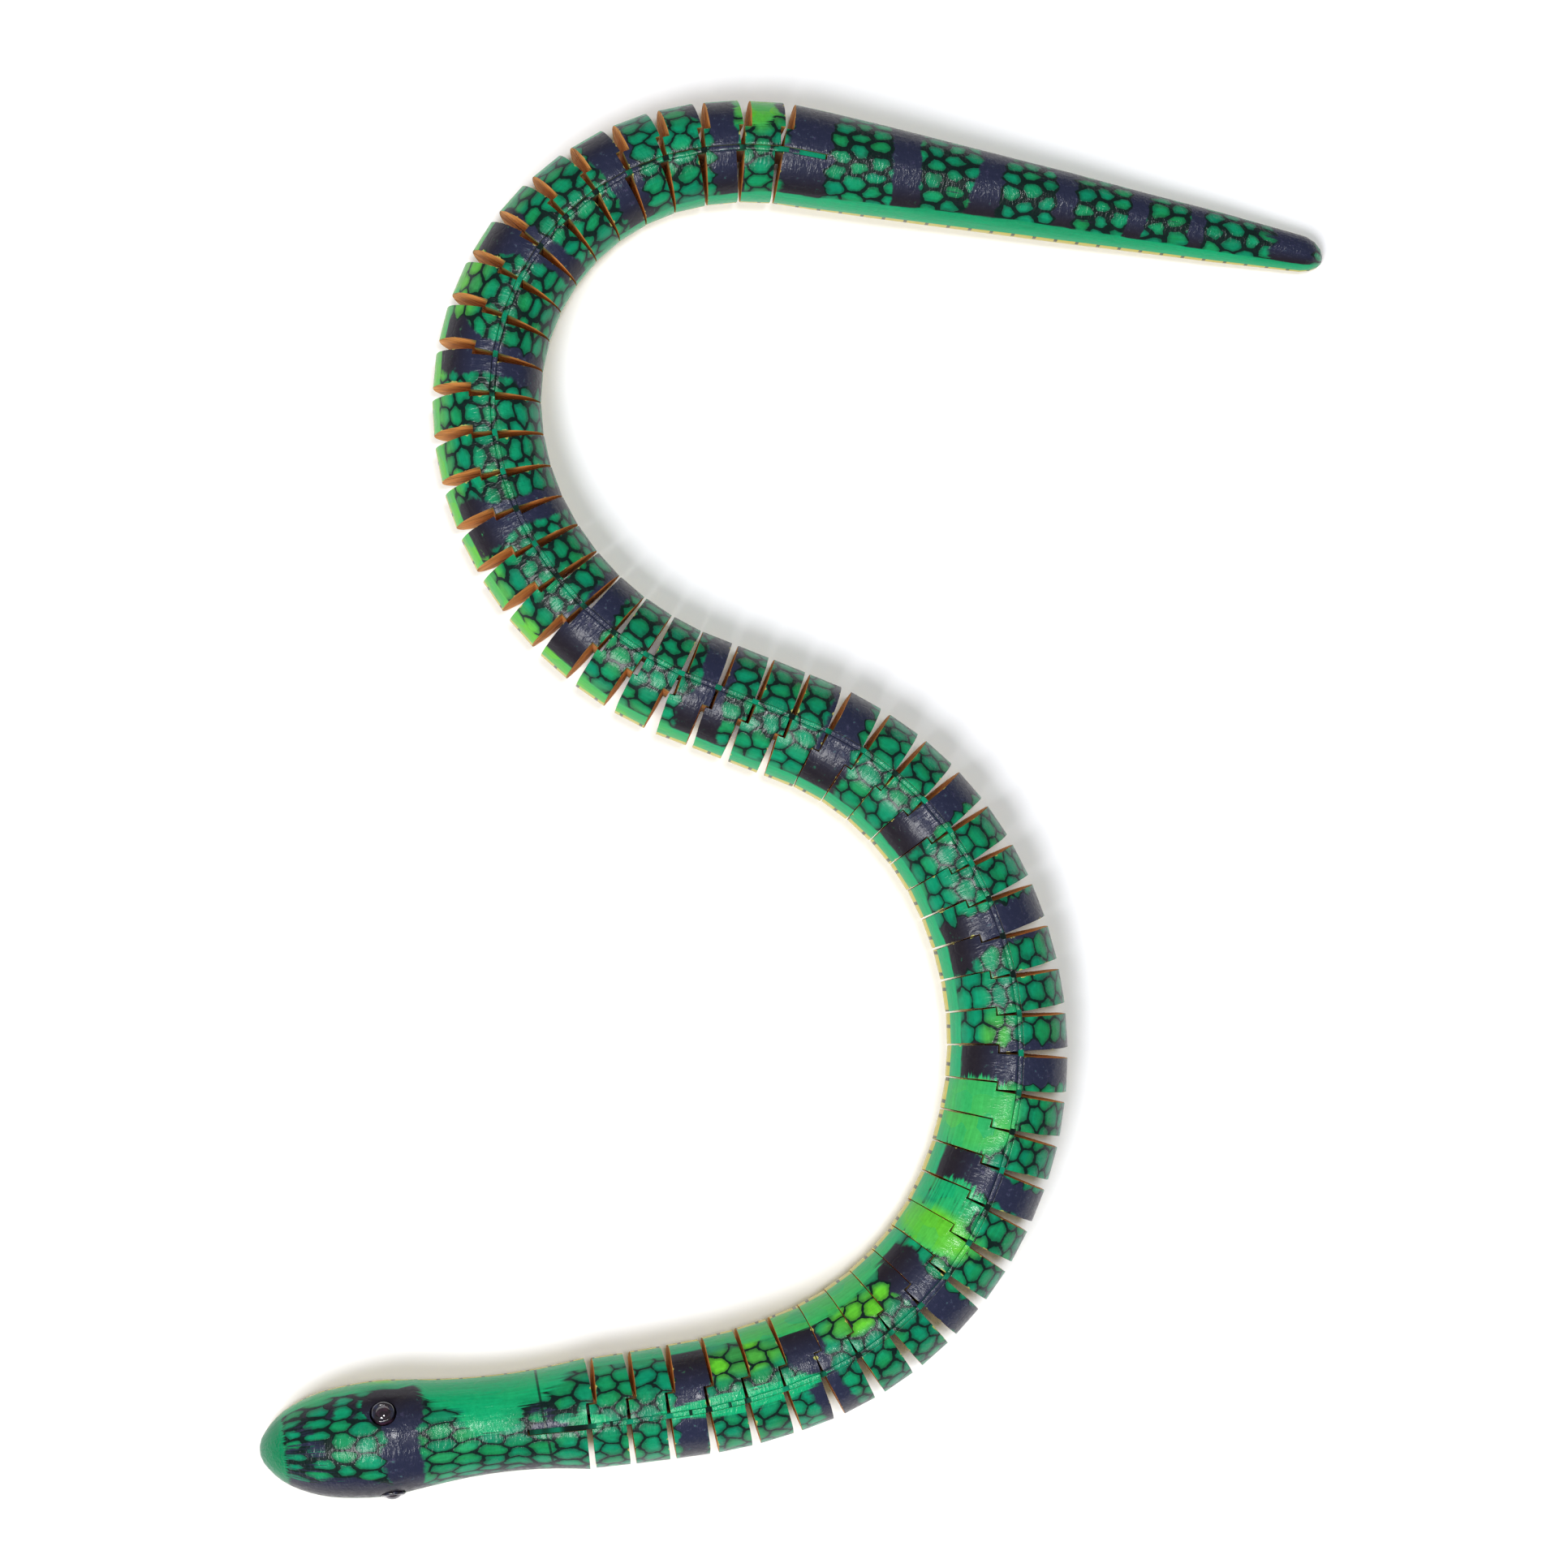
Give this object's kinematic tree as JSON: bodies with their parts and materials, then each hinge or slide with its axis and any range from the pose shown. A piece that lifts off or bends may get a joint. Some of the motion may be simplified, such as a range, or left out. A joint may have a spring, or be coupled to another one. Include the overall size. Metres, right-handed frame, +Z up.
{
  "type": "jointed wooden toy snake",
  "caption": "Painted wooden snake sawn into short segments on a flexible strip, lying in an S; each saw cut bends sideways a few degrees.",
  "frame": {"origin": "centre of the bounding box's bottom, on the surface the snake lies on", "axes": "+Z up; +Y along the S from the head's side to the tail's side; +X from the head's end of the bottom bow towards the tail tip"},
  "size_m": [0.1876, 0.2428, 0.0205],
  "materials": {
    "green_lacquered_wood": "glossy lacquer over green scale paint, raw wood in the saw cuts",
    "navy_banded_wood": "glossy lacquer over dark band paint, raw wood in the saw cuts",
    "strip_cloth": "woven strip stiff with glue",
    "eye_bead": "polished black"
  },
  "bodies": {
    "head": {"head": "green_lacquered_wood", "left_eye": "eye_bead", "right_eye": "eye_bead"},
    "segment_01": {"segment_01": "green_lacquered_wood"},
    "segment_02": {"segment_02": "green_lacquered_wood"},
    "segment_03": {"segment_03": "navy_banded_wood"},
    "segment_04": {"segment_04": "green_lacquered_wood"},
    "segment_05": {"segment_05": "green_lacquered_wood"},
    "segment_06": {"segment_06": "navy_banded_wood"},
    "segment_07": {"segment_07": "green_lacquered_wood"},
    "segment_08": {"segment_08": "green_lacquered_wood"},
    "segment_09": {"segment_09": "navy_banded_wood"},
    "segment_10": {"segment_10": "green_lacquered_wood"},
    "segment_11": {"segment_11": "green_lacquered_wood"},
    "segment_12": {"segment_12": "navy_banded_wood"},
    "segment_13": {"segment_13": "green_lacquered_wood"},
    "segment_14": {"segment_14": "green_lacquered_wood"},
    "segment_15": {"segment_15": "navy_banded_wood"},
    "segment_16": {"segment_16": "green_lacquered_wood"},
    "segment_17": {"segment_17": "green_lacquered_wood"},
    "segment_18": {"segment_18": "navy_banded_wood"},
    "segment_19": {"segment_19": "green_lacquered_wood"},
    "segment_20": {"segment_20": "green_lacquered_wood"},
    "segment_21": {"segment_21": "navy_banded_wood"},
    "segment_22": {"segment_22": "green_lacquered_wood"},
    "segment_23": {"segment_23": "green_lacquered_wood"},
    "segment_24": {"segment_24": "navy_banded_wood"},
    "segment_25": {"segment_25": "green_lacquered_wood", "spine_strip": "strip_cloth"},
    "segment_26": {"segment_26": "green_lacquered_wood"},
    "segment_27": {"segment_27": "navy_banded_wood"},
    "segment_28": {"segment_28": "green_lacquered_wood"},
    "segment_29": {"segment_29": "green_lacquered_wood"},
    "segment_30": {"segment_30": "navy_banded_wood"},
    "segment_31": {"segment_31": "green_lacquered_wood"},
    "segment_32": {"segment_32": "green_lacquered_wood"},
    "segment_33": {"segment_33": "navy_banded_wood"},
    "segment_34": {"segment_34": "green_lacquered_wood"},
    "segment_35": {"segment_35": "green_lacquered_wood"},
    "segment_36": {"segment_36": "navy_banded_wood"},
    "segment_37": {"segment_37": "green_lacquered_wood"},
    "segment_38": {"segment_38": "green_lacquered_wood"},
    "segment_39": {"segment_39": "navy_banded_wood"},
    "segment_40": {"segment_40": "green_lacquered_wood"},
    "segment_41": {"segment_41": "green_lacquered_wood"},
    "segment_42": {"segment_42": "navy_banded_wood"},
    "segment_43": {"segment_43": "green_lacquered_wood"},
    "segment_44": {"segment_44": "green_lacquered_wood"},
    "segment_45": {"segment_45": "navy_banded_wood"},
    "segment_46": {"segment_46": "green_lacquered_wood"},
    "segment_47": {"segment_47": "green_lacquered_wood"},
    "segment_48": {"segment_48": "navy_banded_wood"},
    "segment_49": {"segment_49": "green_lacquered_wood"},
    "segment_50": {"segment_50": "green_lacquered_wood"},
    "tail": {"tail": "green_lacquered_wood"}
  },
  "joints": [
    {"name": "kerf_25", "type": "hinge", "parent": "segment_25", "child": "segment_24", "pos_m": [0.0149, 0.00301, 0.0105], "axis": [0, 0, 1], "range_deg": [-0.8, 12], "deforming": ["spine_strip"]},
    {"name": "kerf_24", "type": "hinge", "parent": "segment_24", "child": "segment_23", "pos_m": [0.01989, -0.0016, 0.0105], "axis": [0, 0, 1], "range_deg": [-0.7, 12], "deforming": ["spine_strip"]},
    {"name": "kerf_23", "type": "hinge", "parent": "segment_23", "child": "segment_22", "pos_m": [0.02429, -0.00679, 0.0105], "axis": [0, 0, 1], "range_deg": [-0.6, 11.9], "deforming": ["spine_strip"]},
    {"name": "kerf_22", "type": "hinge", "parent": "segment_22", "child": "segment_21", "pos_m": [0.02803, -0.01247, 0.0105], "axis": [0, 0, 1], "range_deg": [-0.6, 11.9], "deforming": ["spine_strip"]},
    {"name": "kerf_21", "type": "hinge", "parent": "segment_21", "child": "segment_20", "pos_m": [0.03104, -0.01857, 0.0105], "axis": [0, 0, 1], "range_deg": [-1.6, 10.7], "deforming": ["spine_strip"]},
    {"name": "kerf_20", "type": "hinge", "parent": "segment_20", "child": "segment_19", "pos_m": [0.03341, -0.02494, 0.0105], "axis": [0, 0, 1], "range_deg": [-1.5, 10.7], "deforming": ["spine_strip"]},
    {"name": "kerf_19", "type": "hinge", "parent": "segment_19", "child": "segment_18", "pos_m": [0.03511, -0.03153, 0.0105], "axis": [0, 0, 1], "range_deg": [-1.5, 10.6], "deforming": ["spine_strip"]},
    {"name": "kerf_18", "type": "hinge", "parent": "segment_18", "child": "segment_17", "pos_m": [0.03613, -0.03825, 0.0105], "axis": [0, 0, 1], "range_deg": [-1.2, 10.8], "deforming": ["spine_strip"]},
    {"name": "kerf_17", "type": "hinge", "parent": "segment_17", "child": "segment_16", "pos_m": [0.03643, -0.04504, 0.0105], "axis": [0, 0, 1], "range_deg": [-1.1, 10.7], "deforming": ["spine_strip"]},
    {"name": "kerf_16", "type": "hinge", "parent": "segment_16", "child": "segment_15", "pos_m": [0.036, -0.05183, 0.0105], "axis": [0, 0, 1], "range_deg": [-1.1, 10.7], "deforming": ["spine_strip"]},
    {"name": "kerf_15", "type": "hinge", "parent": "segment_15", "child": "segment_14", "pos_m": [0.03485, -0.05853, 0.0105], "axis": [0, 0, 1], "range_deg": [-1.2, 10.4], "deforming": ["spine_strip"]},
    {"name": "kerf_14", "type": "hinge", "parent": "segment_14", "child": "segment_13", "pos_m": [0.03302, -0.06508, 0.0105], "axis": [0, 0, 1], "range_deg": [-1.3, 10.4], "deforming": ["spine_strip"]},
    {"name": "kerf_13", "type": "hinge", "parent": "segment_13", "child": "segment_12", "pos_m": [0.03053, -0.07141, 0.0105], "axis": [0, 0, 1], "range_deg": [-1.3, 10.5], "deforming": ["spine_strip"]},
    {"name": "kerf_12", "type": "hinge", "parent": "segment_12", "child": "segment_11", "pos_m": [0.0274, -0.07745, 0.0105], "axis": [0, 0, 1], "range_deg": [-0.3, 11.6], "deforming": ["spine_strip"]},
    {"name": "kerf_11", "type": "hinge", "parent": "segment_11", "child": "segment_10", "pos_m": [0.02356, -0.08306, 0.0105], "axis": [0, 0, 1], "range_deg": [-0.3, 11.6], "deforming": ["spine_strip"]},
    {"name": "kerf_10", "type": "hinge", "parent": "segment_10", "child": "segment_09", "pos_m": [0.01906, -0.08816, 0.0105], "axis": [0, 0, 1], "range_deg": [-0.3, 11.7], "deforming": ["spine_strip"]},
    {"name": "kerf_09", "type": "hinge", "parent": "segment_09", "child": "segment_08", "pos_m": [0.01398, -0.09267, 0.0105], "axis": [0, 0, 1], "range_deg": [-0.4, 11.7], "deforming": ["spine_strip"]},
    {"name": "kerf_08", "type": "hinge", "parent": "segment_08", "child": "segment_07", "pos_m": [0.00838, -0.09653, 0.0105], "axis": [0, 0, 1], "range_deg": [-0.4, 11.8], "deforming": ["spine_strip"]},
    {"name": "kerf_07", "type": "hinge", "parent": "segment_07", "child": "segment_06", "pos_m": [0.00236, -0.09968, 0.0105], "axis": [0, 0, 1], "range_deg": [-0.5, 11.8], "deforming": ["spine_strip"]},
    {"name": "kerf_06", "type": "hinge", "parent": "segment_06", "child": "segment_05", "pos_m": [-0.00401, -0.10208, 0.0105], "axis": [0, 0, 1], "range_deg": [-3.6, 8.7], "deforming": ["spine_strip"]},
    {"name": "kerf_05", "type": "hinge", "parent": "segment_05", "child": "segment_04", "pos_m": [-0.01052, -0.10403, 0.0105], "axis": [0, 0, 1], "range_deg": [-3.7, 8.8], "deforming": ["spine_strip"]},
    {"name": "kerf_04", "type": "hinge", "parent": "segment_04", "child": "segment_03", "pos_m": [-0.01715, -0.10554, 0.0105], "axis": [0, 0, 1], "range_deg": [-3.8, 8.8], "deforming": ["spine_strip"]},
    {"name": "kerf_03", "type": "hinge", "parent": "segment_03", "child": "segment_02", "pos_m": [-0.02387, -0.10659, 0.0105], "axis": [0, 0, 1], "range_deg": [-6.9, 5.9], "deforming": ["spine_strip"]},
    {"name": "kerf_02", "type": "hinge", "parent": "segment_02", "child": "segment_01", "pos_m": [-0.03061, -0.10754, 0.0105], "axis": [0, 0, 1], "range_deg": [-7, 6], "deforming": ["spine_strip"]},
    {"name": "kerf_01", "type": "hinge", "parent": "segment_01", "child": "head", "pos_m": [-0.03735, -0.10838, 0.0105], "axis": [0, 0, 1], "range_deg": [-7, 6.2], "deforming": ["spine_strip"]},
    {"name": "kerf_26", "type": "hinge", "parent": "segment_25", "child": "segment_26", "pos_m": [0.00938, 0.00698, 0.0105], "axis": [0, 0, 1], "range_deg": [-12.1, 0.8], "deforming": ["spine_strip"]},
    {"name": "kerf_27", "type": "hinge", "parent": "segment_26", "child": "segment_27", "pos_m": [0.00341, 0.01024, 0.0105], "axis": [0, 0, 1], "range_deg": [-12.1, 0.8], "deforming": ["spine_strip"]},
    {"name": "kerf_28", "type": "hinge", "parent": "segment_27", "child": "segment_28", "pos_m": [-0.00291, 0.01276, 0.0105], "axis": [0, 0, 1], "range_deg": [-5.4, 7.5], "deforming": ["spine_strip"]},
    {"name": "kerf_29", "type": "hinge", "parent": "segment_28", "child": "segment_29", "pos_m": [-0.00924, 0.01524, 0.0105], "axis": [0, 0, 1], "range_deg": [-5.9, 7], "deforming": ["spine_strip"]},
    {"name": "kerf_30", "type": "hinge", "parent": "segment_29", "child": "segment_30", "pos_m": [-0.01558, 0.01768, 0.0105], "axis": [0, 0, 1], "range_deg": [-6.9, 6.1], "deforming": ["spine_strip"]},
    {"name": "kerf_31", "type": "hinge", "parent": "segment_30", "child": "segment_31", "pos_m": [-0.02194, 0.0201, 0.0105], "axis": [0, 0, 1], "range_deg": [-0.9, 12.3], "deforming": ["spine_strip"]},
    {"name": "kerf_32", "type": "hinge", "parent": "segment_31", "child": "segment_32", "pos_m": [-0.02797, 0.02325, 0.0105], "axis": [0, 0, 1], "range_deg": [-1.9, 11.4], "deforming": ["spine_strip"]},
    {"name": "kerf_33", "type": "hinge", "parent": "segment_32", "child": "segment_33", "pos_m": [-0.03358, 0.02709, 0.0105], "axis": [0, 0, 1], "range_deg": [-2, 11.4], "deforming": ["spine_strip"]},
    {"name": "kerf_34", "type": "hinge", "parent": "segment_33", "child": "segment_34", "pos_m": [-0.03869, 0.03157, 0.0105], "axis": [0, 0, 1], "range_deg": [-1.8, 11.7], "deforming": ["spine_strip"]},
    {"name": "kerf_35", "type": "hinge", "parent": "segment_34", "child": "segment_35", "pos_m": [-0.04322, 0.03664, 0.0105], "axis": [0, 0, 1], "range_deg": [-1.9, 11.7], "deforming": ["spine_strip"]},
    {"name": "kerf_36", "type": "hinge", "parent": "segment_35", "child": "segment_36", "pos_m": [-0.04711, 0.04222, 0.0105], "axis": [0, 0, 1], "range_deg": [-1.9, 11.7], "deforming": ["spine_strip"]},
    {"name": "kerf_37", "type": "hinge", "parent": "segment_36", "child": "segment_37", "pos_m": [-0.05028, 0.04824, 0.0105], "axis": [0, 0, 1], "range_deg": [-1.1, 12.6], "deforming": ["spine_strip"]},
    {"name": "kerf_38", "type": "hinge", "parent": "segment_37", "child": "segment_38", "pos_m": [-0.05259, 0.05463, 0.0105], "axis": [0, 0, 1], "range_deg": [-1.1, 12.7], "deforming": ["spine_strip"]},
    {"name": "kerf_39", "type": "hinge", "parent": "segment_38", "child": "segment_39", "pos_m": [-0.05401, 0.06128, 0.0105], "axis": [0, 0, 1], "range_deg": [-1.2, 12.7], "deforming": ["spine_strip"]},
    {"name": "kerf_40", "type": "hinge", "parent": "segment_39", "child": "segment_40", "pos_m": [-0.05449, 0.06807, 0.0105], "axis": [0, 0, 1], "range_deg": [-0.4, 13.5], "deforming": ["spine_strip"]},
    {"name": "kerf_41", "type": "hinge", "parent": "segment_40", "child": "segment_41", "pos_m": [-0.05395, 0.07484, 0.0105], "axis": [0, 0, 1], "range_deg": [-0.5, 13.5], "deforming": ["spine_strip"]},
    {"name": "kerf_42", "type": "hinge", "parent": "segment_41", "child": "segment_42", "pos_m": [-0.05238, 0.08146, 0.0105], "axis": [0, 0, 1], "range_deg": [-0.6, 13.6], "deforming": ["spine_strip"]},
    {"name": "kerf_43", "type": "hinge", "parent": "segment_42", "child": "segment_43", "pos_m": [-0.04983, 0.08777, 0.0105], "axis": [0, 0, 1], "range_deg": [-0.2, 14], "deforming": ["spine_strip"]},
    {"name": "kerf_44", "type": "hinge", "parent": "segment_43", "child": "segment_44", "pos_m": [-0.04632, 0.09359, 0.0105], "axis": [0, 0, 1], "range_deg": [-0.3, 14], "deforming": ["spine_strip"]},
    {"name": "kerf_45", "type": "hinge", "parent": "segment_44", "child": "segment_45", "pos_m": [-0.04193, 0.09878, 0.0105], "axis": [0, 0, 1], "range_deg": [-0.4, 14.1], "deforming": ["spine_strip"]},
    {"name": "kerf_46", "type": "hinge", "parent": "segment_45", "child": "segment_46", "pos_m": [-0.03678, 0.10322, 0.0105], "axis": [0, 0, 1], "range_deg": [-0.4, 14.2], "deforming": ["spine_strip"]},
    {"name": "kerf_47", "type": "hinge", "parent": "segment_46", "child": "segment_47", "pos_m": [-0.03098, 0.10677, 0.0105], "axis": [0, 0, 1], "range_deg": [-0.4, 14.2], "deforming": ["spine_strip"]},
    {"name": "kerf_48", "type": "hinge", "parent": "segment_47", "child": "segment_48", "pos_m": [-0.02469, 0.10935, 0.0105], "axis": [0, 0, 1], "range_deg": [-0.5, 14.2], "deforming": ["spine_strip"]},
    {"name": "kerf_49", "type": "hinge", "parent": "segment_48", "child": "segment_49", "pos_m": [-0.01807, 0.11089, 0.0105], "axis": [0, 0, 1], "range_deg": [-2.3, 12.6], "deforming": ["spine_strip"]},
    {"name": "kerf_50", "type": "hinge", "parent": "segment_49", "child": "segment_50", "pos_m": [-0.0113, 0.11156, 0.0105], "axis": [0, 0, 1], "range_deg": [-2.4, 12.6], "deforming": ["spine_strip"]},
    {"name": "kerf_51", "type": "hinge", "parent": "segment_50", "child": "tail", "pos_m": [-0.0045, 0.11133, 0.0105], "axis": [0, 0, 1], "range_deg": [-2.4, 12.7], "deforming": ["spine_strip"]}
  ]
}
